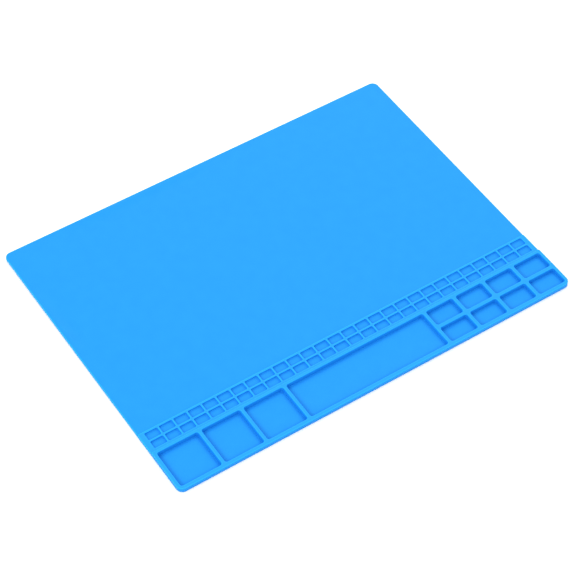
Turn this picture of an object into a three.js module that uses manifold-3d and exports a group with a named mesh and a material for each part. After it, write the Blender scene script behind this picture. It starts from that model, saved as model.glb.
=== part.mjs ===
// A flexible silicone work mat with sorting trays along its front edge.
//
// The real mat is one moulding. It is described here as the straight sections that it is made up
// of, which meet face to face: a thin work surface, a strip of small cells behind the trays, and a
// raised block of trays. Every wall is a section of its own, so the trays and cells stay open.
//
// Units are millimetres and +Z is up. The origin is the middle of the underside, +X runs along the
// row of trays and -Y is the front edge, where the trays are.

import * as THREE from 'three';
import { mergeVertices } from 'three/addons/utils/BufferGeometryUtils.js';
import Module from 'manifold-3d';

const wasm = await Module();
wasm.setup();

// Whole mat
const MAT_WIDTH = 405;
const MAT_DEPTH = 305;
const MAT_CORNER_RADIUS = 6;
const WORK_THICKNESS = 2.4;
const TRAY_FLOOR_THICKNESS = 1.2;
const CELL_FLOOR_THICKNESS = 1.7;
const STRIP_RISE = 0.8;
const BLOCK_RISE = 1.8;

// Tray block: three square trays, one long tray that takes up the width that is left, and two rows
// of small trays. Widths run along X, and lengths from front to back.
const FRONT_RIM = 3.6;
const REAR_RIM = 2.8;
const LEFT_RIM = 3.35;
const RIGHT_RIM = 2.8;
const TRAY_LENGTH = 39.5;
const TRAY_CORNER_RADIUS = 2.25;
const SQUARE_TRAY_WIDTHS = [40.1, 38.5, 40];
const LARGE_DIVIDER = 3.1;
const SMALL_TRAY_WIDTH = 28.7;
const SMALL_TRAY_COLUMNS = 4;
const SMALL_DIVIDER = 3.35;
const ROW_DIVIDER = 3.5;

// Cell strip: two rows of small cells, which share the width between the two end margins
const STRIP_FRONT_RAIL = 3.2;
const STRIP_MIDDLE_RAIL = 1.7;
const STRIP_REAR_RAIL = 1.9;
const STRIP_LEFT_MARGIN = 5.3;
const STRIP_RIGHT_MARGIN = 4.6;
const STRIP_COLUMNS = 28;
const STRIP_RIB = 1.5;
const CELL_LENGTH = 8;

// Arc steps of a quarter circle
const OUTER_CORNER_STEPS = 10;
const TRAY_CORNER_STEPS = 5;

// Levels
const stripHeight = WORK_THICKNESS + STRIP_RISE;
const blockHeight = stripHeight + BLOCK_RISE;

// Edges of the mat
const left = -MAT_WIDTH / 2;
const right = MAT_WIDTH / 2;
const front = -MAT_DEPTH / 2;
const rear = MAT_DEPTH / 2;

// Lines across the tray block, from front to back
const trayFront = front + FRONT_RIM;
const trayRear = trayFront + TRAY_LENGTH;
const blockRear = trayRear + REAR_RIM;
const smallTrayLength = (TRAY_LENGTH - ROW_DIVIDER) / 2;
const rowDividerFront = trayFront + smallTrayLength;
const rowDividerRear = rowDividerFront + ROW_DIVIDER;

// Lines across the cell strip, from front to back
const frontCellsFront = blockRear + STRIP_FRONT_RAIL;
const frontCellsRear = frontCellsFront + CELL_LENGTH;
const rearCellsFront = frontCellsRear + STRIP_MIDDLE_RAIL;
const rearCellsRear = rearCellsFront + CELL_LENGTH;
const stripRear = rearCellsRear + STRIP_REAR_RAIL;

// Ends of the tray block and of the cell strip
const traysLeft = left + LEFT_RIM;
const traysRight = right - RIGHT_RIM;
const cellsLeft = left + STRIP_LEFT_MARGIN;
const cellsRight = right - STRIP_RIGHT_MARGIN;

const material = {
  work: { color: 0x33abfe, roughness: 0.6 },
  tray: { color: 0x38b0fb, roughness: 0.6 },
  strip: { color: 0x30a6f8, roughness: 0.6 },
};

function solidFromGeometry(geometry) {
  geometry.deleteAttribute('normal');
  geometry.deleteAttribute('uv');
  const merged = mergeVertices(geometry);
  return new wasm.Manifold(new wasm.Mesh({
    numProp: 3,
    vertProperties: new Float32Array(merged.attributes.position.array),
    triVerts: new Uint32Array(merged.index.array),
  }));
}

// A solid with upright sides between two levels
function prism(points, bottom, top) {
  const outline = new THREE.Shape(points.map(([x, y]) => new THREE.Vector2(x, y)));
  const geometry = new THREE.ExtrudeGeometry(outline, { depth: top - bottom, bevelEnabled: false });
  geometry.translate(0, 0, bottom);
  return solidFromGeometry(geometry);
}

function bar(xLow, xHigh, yLow, yHigh, bottom, top) {
  return prism([[xLow, yLow], [xHigh, yLow], [xHigh, yHigh], [xLow, yHigh]], bottom, top);
}

// Points on a quarter circle, from one angle (in quarter turns) to the next
function quarterArc(centreX, centreY, radius, startQuarter, steps) {
  const points = [];
  for (let step = 0; step <= steps; step += 1) {
    const angle = (startQuarter + step / steps) * (Math.PI / 2);
    points.push([centreX + radius * Math.cos(angle), centreY + radius * Math.sin(angle)]);
  }
  return points;
}

// The outline of the whole mat, as a solid taller than any section, which rounds off the corners
function matOutline() {
  const radius = MAT_CORNER_RADIUS;
  const points = [
    ...quarterArc(right - radius, rear - radius, radius, 0, OUTER_CORNER_STEPS),
    ...quarterArc(left + radius, rear - radius, radius, 1, OUTER_CORNER_STEPS),
    ...quarterArc(left + radius, front + radius, radius, 2, OUTER_CORNER_STEPS),
    ...quarterArc(right - radius, front + radius, radius, 3, OUTER_CORNER_STEPS),
  ];
  return prism(points, -blockHeight, 2 * blockHeight);
}

// The rounding in one upright corner of a tray. The corner is at x, y, and towardX and towardY
// (1 or -1) say which way the inside of the tray lies. The rounding starts inside the wall beside
// the tray, by half the wall's thickness, so that the two join into one solid.
function trayCornerRounding(x, y, towardX, towardY, wallThickness) {
  const radius = TRAY_CORNER_RADIUS;
  const insideWall = x - towardX * wallThickness / 2;
  const points = [[insideWall, y + towardY * radius], [insideWall, y]];
  for (let step = 0; step <= TRAY_CORNER_STEPS; step += 1) {
    const angle = (step / TRAY_CORNER_STEPS) * (Math.PI / 2);
    const alongX = radius * (1 - Math.sin(angle));
    const alongY = radius * (1 - Math.cos(angle));
    points.push([x + towardX * alongX, y + towardY * alongY]);
  }
  return prism(points, TRAY_FLOOR_THICKNESS, blockHeight);
}

// Each column of trays has the walls on its two sides and one or two trays from front to back
function trayColumns() {
  const wholeLength = [[trayFront, trayRear]];
  const twoRows = [[trayFront, rowDividerFront], [rowDividerRear, trayRear]];
  const squares = SQUARE_TRAY_WIDTHS.map((width) => ({ width, wall: LARGE_DIVIDER, rows: wholeLength }));
  const smalls = [];
  for (let column = 0; column < SMALL_TRAY_COLUMNS; column += 1) {
    smalls.push({ width: SMALL_TRAY_WIDTH, wall: SMALL_DIVIDER, rows: twoRows });
  }
  const squaresRight = squares.reduce((x, column) => x + column.width + column.wall, traysLeft);
  const smallsLeft = traysRight
    - SMALL_TRAY_COLUMNS * SMALL_TRAY_WIDTH
    - (SMALL_TRAY_COLUMNS - 1) * SMALL_DIVIDER;
  const long = { width: smallsLeft - LARGE_DIVIDER - squaresRight, wall: LARGE_DIVIDER, rows: wholeLength };

  const columns = [...squares, long, ...smalls];
  let x = traysLeft;
  for (const column of columns) {
    column.left = x;
    column.right = x + column.width;
    x = column.right + column.wall;
  }
  // The last tray ends exactly at the right rim, free of the rounding in the sum of the widths
  columns[columns.length - 1].right = traysRight;
  return { columns, smallsLeft };
}

const { columns, smallsLeft } = trayColumns();
const group = new THREE.Group();

function addSection(name, solid, { color, roughness }) {
  const { vertProperties, triVerts } = solid.getMesh();
  const geometry = new THREE.BufferGeometry();
  geometry.setAttribute('position', new THREE.BufferAttribute(new Float32Array(vertProperties), 3));
  geometry.setIndex(new THREE.BufferAttribute(new Uint32Array(triVerts), 1));
  geometry.computeVertexNormals();
  const surface = new THREE.MeshStandardMaterial({ color, roughness, metalness: 0 });
  const mesh = new THREE.Mesh(geometry, surface);
  mesh.name = name;
  group.add(mesh);
}

// A wall between two columns of trays, or at the end of them, with the roundings of the trays that
// it borders. Its place is given by its two sides.
function trayWall(xLow, xHigh, bottom, leftColumn, rightColumn) {
  const thickness = xHigh - xLow;
  let wall = bar(xLow, xHigh, trayFront, trayRear, bottom, blockHeight);
  for (const [low, high] of leftColumn ? leftColumn.rows : []) {
    wall = wall.add(trayCornerRounding(xLow, low, -1, 1, thickness));
    wall = wall.add(trayCornerRounding(xLow, high, -1, -1, thickness));
  }
  for (const [low, high] of rightColumn ? rightColumn.rows : []) {
    wall = wall.add(trayCornerRounding(xHigh, low, 1, 1, thickness));
    wall = wall.add(trayCornerRounding(xHigh, high, 1, -1, thickness));
  }
  return wall;
}

function addWorkSurface(outline) {
  const sheet = bar(left, right, stripRear, rear, 0, WORK_THICKNESS);
  addSection('work_surface', sheet.intersect(outline), material.work);
}

function addTrayBlock(outline) {
  const first = columns[0];
  const last = columns[columns.length - 1];

  const floor = bar(traysLeft, traysRight, trayFront, trayRear, 0, TRAY_FLOOR_THICKNESS);
  addSection('tray_floor', floor, material.tray);
  const frontRim = bar(left, right, front, trayFront, 0, blockHeight);
  addSection('tray_front_rim', frontRim.intersect(outline), material.tray);
  addSection('tray_rear_rim', bar(left, right, trayRear, blockRear, 0, blockHeight), material.tray);

  const leftFoot = bar(left, traysLeft, trayFront, trayRear, 0, TRAY_FLOOR_THICKNESS);
  const leftRim = trayWall(left, traysLeft, TRAY_FLOOR_THICKNESS, null, first).add(leftFoot);
  addSection('tray_left_rim', leftRim.intersect(outline), material.tray);
  const rightFoot = bar(traysRight, right, trayFront, trayRear, 0, TRAY_FLOOR_THICKNESS);
  const rightRim = trayWall(traysRight, right, TRAY_FLOOR_THICKNESS, last, null).add(rightFoot);
  addSection('tray_right_rim', rightRim.intersect(outline), material.tray);

  // The row divider crosses the walls between the small trays. They are halved into each other: the
  // row divider keeps its lower half where they cross, and the other walls keep their upper half.
  const halvingLevel = (TRAY_FLOOR_THICKNESS + blockHeight) / 2;
  const largeCount = SQUARE_TRAY_WIDTHS.length + 1;
  const rowDividerPlan = [smallsLeft, traysRight, rowDividerFront, rowDividerRear];
  let rowDivider = bar(...rowDividerPlan, TRAY_FLOOR_THICKNESS, blockHeight);
  for (let index = 1; index < columns.length; index += 1) {
    const before = columns[index - 1];
    const after = columns[index];
    const wall = trayWall(before.right, after.left, TRAY_FLOOR_THICKNESS, before, after);
    if (index <= largeCount) {
      addSection(`tray_divider_${index}`, wall, material.tray);
    } else {
      const crossing = [before.right, after.left, rowDividerFront, rowDividerRear];
      rowDivider = rowDivider.subtract(bar(...crossing, halvingLevel, 2 * blockHeight));
      const halvedWall = wall.subtract(bar(...crossing, 0, halvingLevel));
      addSection(`small_tray_divider_${index - largeCount}`, halvedWall, material.tray);
    }
  }
  addSection('small_tray_row_divider', rowDivider, material.tray);
}

function addCellStrip() {
  const frontFloor = bar(cellsLeft, cellsRight, frontCellsFront, frontCellsRear, 0, CELL_FLOOR_THICKNESS);
  addSection('strip_front_floor', frontFloor, material.strip);
  const rearFloor = bar(cellsLeft, cellsRight, rearCellsFront, rearCellsRear, 0, CELL_FLOOR_THICKNESS);
  addSection('strip_rear_floor', rearFloor, material.strip);
  const frontRail = bar(left, right, blockRear, frontCellsFront, 0, stripHeight);
  addSection('strip_front_rail', frontRail, material.strip);
  const rearRail = bar(left, right, rearCellsRear, stripRear, 0, stripHeight);
  addSection('strip_rear_rail', rearRail, material.strip);
  const leftMargin = bar(left, cellsLeft, frontCellsFront, rearCellsRear, 0, stripHeight);
  addSection('strip_left_margin', leftMargin, material.strip);
  const rightMargin = bar(cellsRight, right, frontCellsFront, rearCellsRear, 0, stripHeight);
  addSection('strip_right_margin', rightMargin, material.strip);

  // The middle rail goes down through the floor, and is notched down to it where each rib crosses
  const cellWidth = (cellsRight - cellsLeft - (STRIP_COLUMNS - 1) * STRIP_RIB) / STRIP_COLUMNS;
  let middleRail = bar(cellsLeft, cellsRight, frontCellsRear, rearCellsFront, 0, stripHeight);
  for (let index = 1; index < STRIP_COLUMNS; index += 1) {
    const ribRight = cellsLeft + index * (cellWidth + STRIP_RIB);
    const ribLeft = ribRight - STRIP_RIB;
    const rib = bar(ribLeft, ribRight, frontCellsFront, rearCellsRear, CELL_FLOOR_THICKNESS, stripHeight);
    addSection(`strip_rib_${String(index).padStart(2, '0')}`, rib, material.strip);
    const crossing = [ribLeft, ribRight, frontCellsRear, rearCellsFront];
    middleRail = middleRail.subtract(bar(...crossing, CELL_FLOOR_THICKNESS, 2 * stripHeight));
  }
  addSection('strip_middle_rail', middleRail, material.strip);
}

const outline = matOutline();
addWorkSurface(outline);
addTrayBlock(outline);
addCellStrip();

export default group;
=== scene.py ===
"""A silicone work mat with sorting trays: its looks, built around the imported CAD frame.

The real mat is one moulding with rounded edges. The walls of its trays and cells lean in, and have
small radii at their feet. Three closed pieces stand for the square-edged CAD sections: the work
sheet, the strip of small cells and the block of trays. They meet face to face at the feet of the
two steps, so no seam shows. Lengths are in metres, in the frame of the CAD model.
"""

import math

import bmesh
import bpy
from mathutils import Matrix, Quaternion, Vector
from mathutils.geometry import delaunay_2d_cdt


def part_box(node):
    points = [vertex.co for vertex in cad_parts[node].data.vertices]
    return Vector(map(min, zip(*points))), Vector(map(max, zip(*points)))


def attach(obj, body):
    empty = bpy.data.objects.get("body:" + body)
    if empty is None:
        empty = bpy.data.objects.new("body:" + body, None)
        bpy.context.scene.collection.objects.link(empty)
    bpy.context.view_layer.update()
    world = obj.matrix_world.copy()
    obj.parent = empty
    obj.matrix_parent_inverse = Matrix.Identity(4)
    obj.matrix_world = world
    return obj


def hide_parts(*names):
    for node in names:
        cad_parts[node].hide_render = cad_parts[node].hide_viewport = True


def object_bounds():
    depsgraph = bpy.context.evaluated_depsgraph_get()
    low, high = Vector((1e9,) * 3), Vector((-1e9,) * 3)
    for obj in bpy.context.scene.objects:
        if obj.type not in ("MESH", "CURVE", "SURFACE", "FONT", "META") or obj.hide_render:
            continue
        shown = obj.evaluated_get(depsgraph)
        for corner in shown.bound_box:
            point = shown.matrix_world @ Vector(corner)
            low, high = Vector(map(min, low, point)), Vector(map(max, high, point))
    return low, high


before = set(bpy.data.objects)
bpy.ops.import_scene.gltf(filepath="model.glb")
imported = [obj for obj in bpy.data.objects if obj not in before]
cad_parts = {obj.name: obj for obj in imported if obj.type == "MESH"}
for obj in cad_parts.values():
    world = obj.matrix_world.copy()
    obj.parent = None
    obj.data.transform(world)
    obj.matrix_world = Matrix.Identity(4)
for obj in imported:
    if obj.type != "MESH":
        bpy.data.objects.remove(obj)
cad_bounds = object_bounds()

MM = 0.001
QUARTER_TURN = math.pi / 2

# How many walls of each kind the CAD model has
TRAY_DIVIDERS = 4
SMALL_TRAY_DIVIDERS = 3
STRIP_RIBS = 27

# Corner radii in plan
MAT_CORNER_RADIUS = 6.0 * MM
STEP_CORNER_RADIUS = 1.2 * MM
TRAY_CORNER_RADIUS = 2.25 * MM
CELL_CORNER_RADIUS = 1.2 * MM

# Radii of the edges
BLOCK_EDGE = 0.5 * MM
STRIP_EDGE = 0.25 * MM
SHEET_EDGE = 0.5 * MM
UNDERSIDE_EDGE = 0.3 * MM

# Walls of the trays and cells: how far they lean in, and the radius at the foot
TRAY_DRAFT = 0.9 * MM
TRAY_COVE = 0.3 * MM
CELL_DRAFT = 0.2 * MM
CELL_COVE = 0.8 * MM

# How many steps a quarter circle has: corners in plan, edges, and feet of walls
CORNER_STEPS = 8
EDGE_STEPS = 5
COVE_STEPS = 8

# The rear left corner of the soft sheet curls up off the table. The grid of points inside its plates
# lets them bend.
CURL_HEIGHT = 1.3 * MM
CURL_REACH = 110.0 * MM
SHEET_GRID = 9.0 * MM

# Mesh making. The plates are triangulated over their whole hull, as their outer rings are convex.
MERGE_DISTANCE = 0.002 * MM
SMOOTH_ANGLE = math.radians(35)
TRIANGULATION_TOLERANCE = 1e-9
WHOLE_HULL = 0

# Silicone: the plain colour varies between two blues, which are pure at the low and the high level
# of the noise
SHEET_COLOUR_DEEP = (0.0105, 0.235, 0.68, 1)
SHEET_COLOUR_PALE = (0.0116, 0.243, 0.69, 1)
MOTTLE_SCALE = 90.0
MOTTLE_DETAIL = 4.0
MOTTLE_LOW = 0.3
MOTTLE_HIGH = 0.7

# Painted shade: a deeper colour in corners and creases. Painted highlight: a paler colour on edges.
# A reach is how far from the corner or edge the painted colour starts, and it is full where the
# openness is down to its value here.
CREASE_PAINTED_SHADE = (0.0002, 0.115, 0.55, 1)
PAINTED_SHADE_REACH = 4.2 * MM
PAINTED_SHADE_FULL_TINT = 0.35
EDGE_PAINTED_HIGHLIGHT = (0.0180, 0.360, 0.88, 1)
PAINTED_HIGHLIGHT_REACH = 0.9 * MM
PAINTED_HIGHLIGHT_FULL_TINT = 0.8
FULLY_OPEN = 1.0
OPENNESS_SAMPLES = 12

# Edges below this height are the underside's, and keep the plain colour
UNDERSIDE_BAND = 1.0 * MM

# The tops of rims and ribs get a painted highlight too: a paler colour, from this far below them
RIM_PAINTED_HIGHLIGHT = (0.0145, 0.262, 0.75, 1)
RIM_HIGHLIGHT_BAND = 0.3 * MM

# A matte finish with a fine grain
SILICONE_ROUGHNESS = 0.5
SILICONE_IOR = 1.41
SILICONE_SPECULAR = 0.1
GRAIN_SCALE = 2600.0
GRAIN_DETAIL = 2.0
GRAIN_STRENGTH = 0.15
GRAIN_DEPTH = 0.05 * MM

# The colour sockets of Blender's Mix node, which share their names with its other sockets
MIX_FACTOR = 0
MIX_FIRST = 6
MIX_SECOND = 7
MIX_RESULT = 2

# Studio: a white dome, two softboxes and a pale floor just under the mat
WHITE = (1, 1, 1, 1)
DOME_STRENGTH = 1.35
LEFT_SOFTBOX_PLACE = (-2.45, -0.2, 1.7)
LEFT_SOFTBOX_SIZE = (2.5, 0.9)
LEFT_SOFTBOX_POWER = 28.0
REAR_SOFTBOX_PLACE = (1.1, 1.4, 1.4)
REAR_SOFTBOX_SIZE = (1.4, 1.0)
REAR_SOFTBOX_POWER = 12.0
FLOOR_REACH = 6.0
FLOOR_GAP = 0.05 * MM
FLOOR_COLOUR = (0.9, 0.9, 0.9, 1)
FLOOR_ROUGHNESS = 0.9
FLOOR_SPECULAR = 0.0

# The camera, as solved from the mat's straight edges
CAMERA_HEADING = math.radians(33.0838)
CAMERA_ELEVATION = math.radians(50.3297)
CAMERA_ROLL = math.radians(0.1855)
CAMERA_DISTANCE = 1.78405
CAMERA_AIM = Vector((-0.00849, -0.01736, 0.0))
CAMERA_LENS = 125.687
CAMERA_SENSOR = 36.0
CAMERA_CLIP_START = 0.05
CAMERA_CLIP_END = 50.0


class Rectangle:
    """A rectangle in plan, given by its sides."""

    def __init__(self, left, right, front, rear):
        self.left = left
        self.right = right
        self.front = front
        self.rear = rear

    def inset(self, left, right, front, rear):
        return Rectangle(self.left + left, self.right - right, self.front + front, self.rear - rear)


def ring(rectangle, z, front_radius, rear_radius):
    """Points round a rectangle at one height, anticlockwise, with rounded front and rear corners."""
    corners = (
        (rectangle.right, rectangle.rear, -1, -1, rear_radius),
        (rectangle.left, rectangle.rear, 1, -1, rear_radius),
        (rectangle.left, rectangle.front, 1, 1, front_radius),
        (rectangle.right, rectangle.front, -1, 1, front_radius),
    )
    points = []
    for quarter, (x, y, toward_x, toward_y, radius) in enumerate(corners):
        centre_x = x + toward_x * radius
        centre_y = y + toward_y * radius
        for step in range(CORNER_STEPS + 1):
            angle = (quarter + step / CORNER_STEPS) * QUARTER_TURN
            point_x = centre_x + radius * math.cos(angle)
            point_y = centre_y + radius * math.sin(angle)
            points.append(Vector((point_x, point_y, z)))
    return points


def arc_steps(count):
    """(sine, cosine) of angles from 0 to 90 degrees."""
    angles = [i / count * QUARTER_TURN for i in range(count + 1)]
    return [(math.sin(angle), math.cos(angle)) for angle in angles]


class Moulding:
    """A closed mesh under construction, made of rings joined by strips of faces."""

    def __init__(self):
        self.bm = bmesh.new()

    def add_ring(self, points):
        return [self.bm.verts.new(point) for point in points]

    def join(self, upper, lower, facing_out=True):
        """A strip of faces between two rings, which faces away from their middle or towards it."""
        count = len(upper)
        for i in range(count):
            j = (i + 1) % count
            corners = (upper[i], lower[i], lower[j], upper[j])
            self.bm.faces.new(corners if facing_out else tuple(reversed(corners)))

    def loft(self, rings, facing_out=True):
        """Strips through all the rings. Returns the first and the last ring."""
        made = [self.add_ring(points) for points in rings]
        for upper, lower in zip(made, made[1:]):
            self.join(upper, lower, facing_out)
        return made[0], made[-1]

    def cap(self, verts, facing_up):
        self.bm.faces.new(verts if facing_up else list(reversed(verts)))

    def plate(self, outer, holes=(), inner_points=(), facing_up=True):
        """The flat face inside one ring and outside the others, as triangles."""
        rings = [outer, *holes]
        verts = [vert for loop in rings for vert in loop]
        owner = [index for index, loop in enumerate(rings) for _ in loop]
        edges = []
        start = 0
        for loop in rings:
            edges += [(start + i, start + (i + 1) % len(loop)) for i in range(len(loop))]
            start += len(loop)
        z = outer[0].co.z
        for point in inner_points:
            verts.append(self.bm.verts.new((point[0], point[1], z)))
            owner.append(-1)
        flat = [vert.co.to_2d() for vert in verts]
        _, _, triangles, origins, _, _ = delaunay_2d_cdt(
            flat, edges, [], WHOLE_HULL, TRIANGULATION_TOLERANCE,
        )
        for triangle in triangles:
            sources = [origins[corner][0] for corner in triangle]
            owners = {owner[source] for source in sources}
            inside_hole = len(owners) == 1 and 0 < min(owners)
            if not inside_hole:
                corners = [verts[source] for source in sources]
                self.bm.faces.new(corners if facing_up else list(reversed(corners)))

    def finish(self, name, node_names, lift=None):
        """The piece, in place of its CAD nodes. lift(x, y) raises its points off the table."""
        bmesh.ops.remove_doubles(self.bm, verts=self.bm.verts, dist=MERGE_DISTANCE)
        bmesh.ops.dissolve_degenerate(self.bm, edges=self.bm.edges, dist=MERGE_DISTANCE)
        if lift:
            for vert in self.bm.verts:
                vert.co.z += lift(vert.co.x, vert.co.y)
        mesh = bpy.data.meshes.new(name)
        self.bm.to_mesh(mesh)
        self.bm.free()
        mesh.shade_smooth()
        mesh.set_sharp_from_angle(angle=SMOOTH_ANGLE)
        piece = bpy.data.objects.new(name, mesh)
        bpy.context.scene.collection.objects.link(piece)
        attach(piece, "root")
        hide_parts(*node_names)
        return piece


def pocket_rings(opening, top, floor, corner, edge, draft, cove):
    """Rings of a tray or cell, from the plate around it down to its floor. The opening is where
    the rounded edge around it meets its wall, which leans in by the draft."""
    def at(inset, z):
        radius = corner - min(inset, 0)
        return ring(opening.inset(inset, inset, inset, inset), z, radius, radius)

    rings = [
        at(-edge * (1 - sine), top - edge * (1 - cosine))
        for sine, cosine in arc_steps(EDGE_STEPS)
    ]
    rings += [
        at(draft + cove * (1 - cosine), floor + cove * (1 - sine))
        for sine, cosine in arc_steps(COVE_STEPS)
    ]
    return rings


def body_rings(plan, top, base, edge, lit, under, corners, ledge=None):
    """Rings down the outside of a piece, from the edge of its top plate to its underside.

    lit and under say which sides (left, right, front, rear) are rounded at the top and at the
    underside: the others meet a neighbour. corners are the front and rear corner radii. Below the
    ledge, which is the level of the neighbour behind, the rear corners are square.
    """
    front_radius, rear_radius = corners

    def at(inset, sides, z, rear_corner):
        shape = plan.inset(*[inset * side for side in sides])
        return ring(shape, z, max(front_radius - inset, 0), max(rear_corner - inset, 0))

    rings = [
        at(edge * (1 - sine), lit, top - edge * (1 - cosine), rear_radius)
        for sine, cosine in arc_steps(EDGE_STEPS)
    ]
    if ledge is not None:
        rings.append(at(0, lit, ledge, rear_radius))
        rear_radius = 0
        rings.append(at(0, lit, ledge, rear_radius))
    rings += [
        at(UNDERSIDE_EDGE * (1 - cosine), under, base + UNDERSIDE_EDGE * (1 - sine), rear_radius)
        for sine, cosine in arc_steps(EDGE_STEPS)
    ]
    return rings


def tray_openings():
    """The square trays, the trough and the small trays, from left to right."""
    floor_low, floor_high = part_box("tray_floor")
    walls = [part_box(f"tray_divider_{n}") for n in range(1, TRAY_DIVIDERS + 1)]
    walls += [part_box(f"small_tray_divider_{n}") for n in range(1, SMALL_TRAY_DIVIDERS + 1)]
    # Each wall's box takes in the roundings at its ends, a corner radius wide on each side
    lefts = [floor_low.x] + [high.x - TRAY_CORNER_RADIUS for low, high in walls]
    rights = [low.x + TRAY_CORNER_RADIUS for low, high in walls] + [floor_high.x]
    row_low, row_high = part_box("small_tray_row_divider")
    openings = []
    for left, right in zip(lefts, rights):
        if right < row_low.x:
            openings.append(Rectangle(left, right, floor_low.y, floor_high.y))
        else:
            openings.append(Rectangle(left, right, floor_low.y, row_low.y))
            openings.append(Rectangle(left, right, row_high.y, floor_high.y))
    return openings


def cell_openings():
    """The cells of the front row, then those of the rear row, each from left to right."""
    ribs = [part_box(f"strip_rib_{n:02d}") for n in range(1, STRIP_RIBS + 1)]
    openings = []
    for floor in ("strip_front_floor", "strip_rear_floor"):
        low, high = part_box(floor)
        lefts = [low.x] + [rib_high.x for _, rib_high in ribs]
        rights = [rib_low.x for rib_low, _ in ribs] + [high.x]
        openings += [Rectangle(left, right, low.y, high.y) for left, right in zip(lefts, rights)]
    return openings


def make_piece(name, nodes, body, pockets=(), inner_points=(), lift=None):
    """A closed piece from the rings of its body and of its pockets, each from the top down."""
    moulding = Moulding()
    rim, foot = moulding.loft(body)
    mouths = []
    for rings in pockets:
        mouth, floor = moulding.loft(rings, facing_out=False)
        moulding.cap(floor, facing_up=True)
        mouths.append(mouth)
    moulding.plate(rim, mouths, inner_points)
    moulding.plate(foot, (), inner_points, facing_up=False)
    return moulding.finish(name, nodes, lift)


def make_tray_block():
    front_low, front_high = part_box("tray_front_rim")
    rear_low, rear_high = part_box("tray_rear_rim")
    strip_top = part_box("strip_front_rail")[1].z
    plan = Rectangle(rear_low.x, rear_high.x, front_low.y, rear_high.y)
    body = body_rings(
        plan, front_high.z, front_low.z, BLOCK_EDGE, lit=(1, 1, 1, 1), under=(1, 1, 1, 0),
        corners=(MAT_CORNER_RADIUS, STEP_CORNER_RADIUS), ledge=strip_top,
    )
    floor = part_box("tray_floor")[1].z
    pockets = [
        pocket_rings(
            opening, front_high.z, floor, TRAY_CORNER_RADIUS, BLOCK_EDGE, TRAY_DRAFT, TRAY_COVE,
        )
        for opening in tray_openings()
    ]
    nodes = [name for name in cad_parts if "tray" in name]
    return make_piece("tray_block", nodes, body, pockets)


def make_cell_strip():
    front_low, front_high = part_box("strip_front_rail")
    rear_low, rear_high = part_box("strip_rear_rail")
    work_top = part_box("work_surface")[1].z
    plan = Rectangle(front_low.x, front_high.x, front_low.y, rear_high.y)
    body = body_rings(
        plan, front_high.z, front_low.z, STRIP_EDGE, lit=(1, 1, 0, 1), under=(1, 1, 0, 0),
        corners=(0, STEP_CORNER_RADIUS), ledge=work_top,
    )
    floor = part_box("strip_front_floor")[1].z
    pockets = [
        pocket_rings(
            opening, front_high.z, floor, CELL_CORNER_RADIUS, STRIP_EDGE, CELL_DRAFT, CELL_COVE,
        )
        for opening in cell_openings()
    ]
    nodes = [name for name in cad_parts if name.startswith("strip_")]
    return make_piece("cell_strip", nodes, body, pockets)


def make_work_sheet():
    low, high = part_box("work_surface")
    plan = Rectangle(low.x, high.x, low.y, high.y)
    body = body_rings(
        plan, high.z, low.z, SHEET_EDGE, lit=(1, 1, 0, 1), under=(1, 1, 0, 1),
        corners=(0, MAT_CORNER_RADIUS),
    )

    def curl(x, y):
        distance = math.hypot(x - low.x, high.y - y)
        rise = max(0.0, 1 - distance / CURL_REACH)
        return CURL_HEIGHT * rise * rise

    width = high.x - low.x
    depth = high.y - low.y
    columns = int(width / SHEET_GRID)
    rows = int(depth / SHEET_GRID)
    # The middle of each square of the grid
    grid = [
        (low.x + width * (i + 0.5) / columns, low.y + depth * (j + 0.5) / rows)
        for i in range(columns)
        for j in range(rows)
    ]
    return make_piece("work_sheet", ["work_surface"], body, (), grid, curl)


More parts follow.
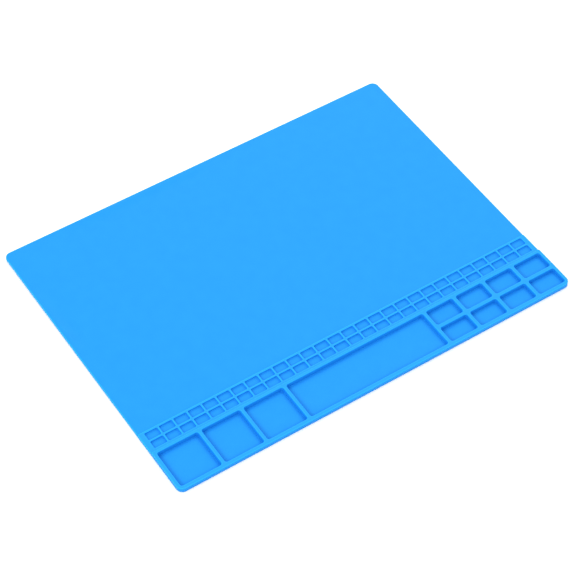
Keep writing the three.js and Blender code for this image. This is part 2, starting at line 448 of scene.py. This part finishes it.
def silicone(name, rim_level=None, seam=None):
    """Matte moulded silicone rubber: a fine grain in the surface and a faint unevenness of colour,
    with painted shade in corners and creases and painted highlights on edges and on the tops of rims
    and ribs.

    rim_level is the height of the rims and ribs, whose tops get a painted highlight, a little paler.
    seam is the Y at which the piece meets the one in front of it, where it has no edge of its own
    and no painted edge highlight.
    """
    material = bpy.data.materials.new(name)
    material.use_nodes = True
    nodes = material.node_tree.nodes
    links = material.node_tree.links
    shader = nodes["Principled BSDF"]
    shader.inputs["Roughness"].default_value = SILICONE_ROUGHNESS
    shader.inputs["IOR"].default_value = SILICONE_IOR
    shader.inputs["Specular IOR Level"].default_value = SILICONE_SPECULAR

    place = nodes.new("ShaderNodeTexCoord")

    def noise(scale, detail):
        texture = nodes.new("ShaderNodeTexNoise")
        texture.inputs["Scale"].default_value = scale
        texture.inputs["Detail"].default_value = detail
        links.new(place.outputs["Object"], texture.inputs["Vector"])
        return texture.outputs["Fac"]

    def blend(base, toward, measure, start, end, masks=()):
        """The base colour, blended to another as the measure goes from start to end."""
        amount = nodes.new("ShaderNodeMapRange")
        amount.inputs["From Min"].default_value = start
        amount.inputs["From Max"].default_value = end
        links.new(measure, amount.inputs["Value"])
        factor = amount.outputs["Result"]
        for mask in masks:
            product = nodes.new("ShaderNodeMath")
            product.operation = "MULTIPLY"
            links.new(factor, product.inputs[0])
            links.new(mask, product.inputs[1])
            factor = product.outputs["Value"]
        mix = nodes.new("ShaderNodeMix")
        mix.data_type = "RGBA"
        links.new(factor, mix.inputs[MIX_FACTOR])
        links.new(base, mix.inputs[MIX_FIRST])
        mix.inputs[MIX_SECOND].default_value = toward
        return mix.outputs[MIX_RESULT]

    def openness(reach, inside):
        """1 on an open face, and less in a corner, or on a sharp edge if inside is set."""
        nearness = nodes.new("ShaderNodeAmbientOcclusion")
        nearness.samples = OPENNESS_SAMPLES
        nearness.inside = inside
        nearness.only_local = True
        nearness.inputs["Distance"].default_value = reach
        return nearness.outputs["AO"]

    def beyond(coordinate, level):
        """1 where the coordinate is over the level, and 0 elsewhere."""
        test = nodes.new("ShaderNodeMath")
        test.operation = "GREATER_THAN"
        links.new(coordinate, test.inputs[0])
        test.inputs[1].default_value = level
        return test.outputs["Value"]

    mottle = nodes.new("ShaderNodeValToRGB")
    deep, pale = mottle.color_ramp.elements
    deep.position = MOTTLE_LOW
    deep.color = SHEET_COLOUR_DEEP
    pale.position = MOTTLE_HIGH
    pale.color = SHEET_COLOUR_PALE
    links.new(noise(MOTTLE_SCALE, MOTTLE_DETAIL), mottle.inputs["Fac"])

    axes = nodes.new("ShaderNodeSeparateXYZ")
    links.new(place.outputs["Object"], axes.inputs["Vector"])
    # Painted highlight on edges: not on the underside's edges, nor at the seam
    painted_highlight_masks = [beyond(axes.outputs["Z"], UNDERSIDE_BAND)]
    if seam is not None:
        painted_highlight_masks.append(beyond(axes.outputs["Y"], seam + PAINTED_HIGHLIGHT_REACH))
    painted_highlight_openness = openness(PAINTED_HIGHLIGHT_REACH, inside=True)
    # Painted shade: how closed in a corner or crease is
    painted_shade_openness = openness(PAINTED_SHADE_REACH, inside=False)
    mottle_and_painted_light = mottle.outputs["Color"]
    if rim_level is not None:
        # Painted highlight on the tops of rims and ribs
        mottle_and_painted_light = blend(mottle_and_painted_light, RIM_PAINTED_HIGHLIGHT, axes.outputs["Z"], rim_level - RIM_HIGHLIGHT_BAND, rim_level)
    # Painted highlight on edges
    mottle_and_painted_light = blend(mottle_and_painted_light, EDGE_PAINTED_HIGHLIGHT, painted_highlight_openness, FULLY_OPEN, PAINTED_HIGHLIGHT_FULL_TINT, painted_highlight_masks)
    # Painted shade in corners and creases
    mottle_and_painted_light = blend(mottle_and_painted_light, CREASE_PAINTED_SHADE, painted_shade_openness, FULLY_OPEN, PAINTED_SHADE_FULL_TINT)
    links.new(mottle_and_painted_light, shader.inputs["Base Color"])

    bump = nodes.new("ShaderNodeBump")
    bump.inputs["Strength"].default_value = GRAIN_STRENGTH
    bump.inputs["Distance"].default_value = GRAIN_DEPTH
    links.new(noise(GRAIN_SCALE, GRAIN_DETAIL), bump.inputs["Height"])
    links.new(bump.outputs["Normal"], shader.inputs["Normal"])
    return material


def make_floor():
    """A wide pale square just under the mat."""
    mesh = bpy.data.meshes.new("floor")
    corners = [
        (-FLOOR_REACH, -FLOOR_REACH, 0),
        (FLOOR_REACH, -FLOOR_REACH, 0),
        (FLOOR_REACH, FLOOR_REACH, 0),
        (-FLOOR_REACH, FLOOR_REACH, 0),
    ]
    mesh.from_pydata(corners, [], [(0, 1, 2, 3)])
    floor = bpy.data.objects.new("floor", mesh)
    floor.location.z = cad_bounds[0].z - FLOOR_GAP
    material = bpy.data.materials.new("pale_floor")
    material.use_nodes = True
    shader = material.node_tree.nodes["Principled BSDF"]
    shader.inputs["Base Color"].default_value = FLOOR_COLOUR
    shader.inputs["Roughness"].default_value = FLOOR_ROUGHNESS
    shader.inputs["Specular IOR Level"].default_value = FLOOR_SPECULAR
    mesh.materials.append(material)
    bpy.context.scene.collection.objects.link(floor)


def make_softbox(name, place, size, power):
    """A rectangular area light that faces the middle of the mat."""
    light = bpy.data.lights.new(name, "AREA")
    light.shape = "RECTANGLE"
    light.size, light.size_y = size
    light.energy = power
    holder = bpy.data.objects.new(name, light)
    holder.location = place
    holder.rotation_mode = "QUATERNION"
    holder.rotation_quaternion = Vector(place).to_track_quat("Z", "Y")
    bpy.context.scene.collection.objects.link(holder)


def make_lights():
    world = bpy.data.worlds.new("studio")
    world.use_nodes = True
    background = world.node_tree.nodes["Background"]
    background.inputs["Color"].default_value = WHITE
    background.inputs["Strength"].default_value = DOME_STRENGTH
    bpy.context.scene.world = world
    bpy.context.scene.view_settings.view_transform = "Standard"
    make_softbox("left_softbox", LEFT_SOFTBOX_PLACE, LEFT_SOFTBOX_SIZE, LEFT_SOFTBOX_POWER)
    make_softbox("rear_softbox", REAR_SOFTBOX_PLACE, REAR_SOFTBOX_SIZE, REAR_SOFTBOX_POWER)


def make_camera():
    camera = bpy.data.cameras.new("camera")
    camera.lens = CAMERA_LENS
    camera.sensor_width = CAMERA_SENSOR
    camera.clip_start = CAMERA_CLIP_START
    camera.clip_end = CAMERA_CLIP_END
    holder = bpy.data.objects.new("camera", camera)
    forward = Vector((
        math.sin(CAMERA_HEADING) * math.cos(CAMERA_ELEVATION),
        math.cos(CAMERA_HEADING) * math.cos(CAMERA_ELEVATION),
        -math.sin(CAMERA_ELEVATION),
    ))
    holder.location = CAMERA_AIM - forward * CAMERA_DISTANCE
    holder.rotation_mode = "QUATERNION"
    holder.rotation_quaternion = Quaternion(forward, CAMERA_ROLL) @ forward.to_track_quat("-Z", "Y")
    bpy.context.scene.collection.objects.link(holder)
    bpy.context.scene.camera = holder


make_camera()
make_lights()
make_floor()
block_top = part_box("tray_front_rim")[1].z
strip_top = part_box("strip_front_rail")[1].z
strip_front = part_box("strip_front_rail")[0].y
sheet_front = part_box("work_surface")[0].y
make_tray_block().data.materials.append(silicone("block_silicone", block_top))
make_cell_strip().data.materials.append(silicone("strip_silicone", strip_top, strip_front))
make_work_sheet().data.materials.append(silicone("sheet_silicone", seam=sheet_front))
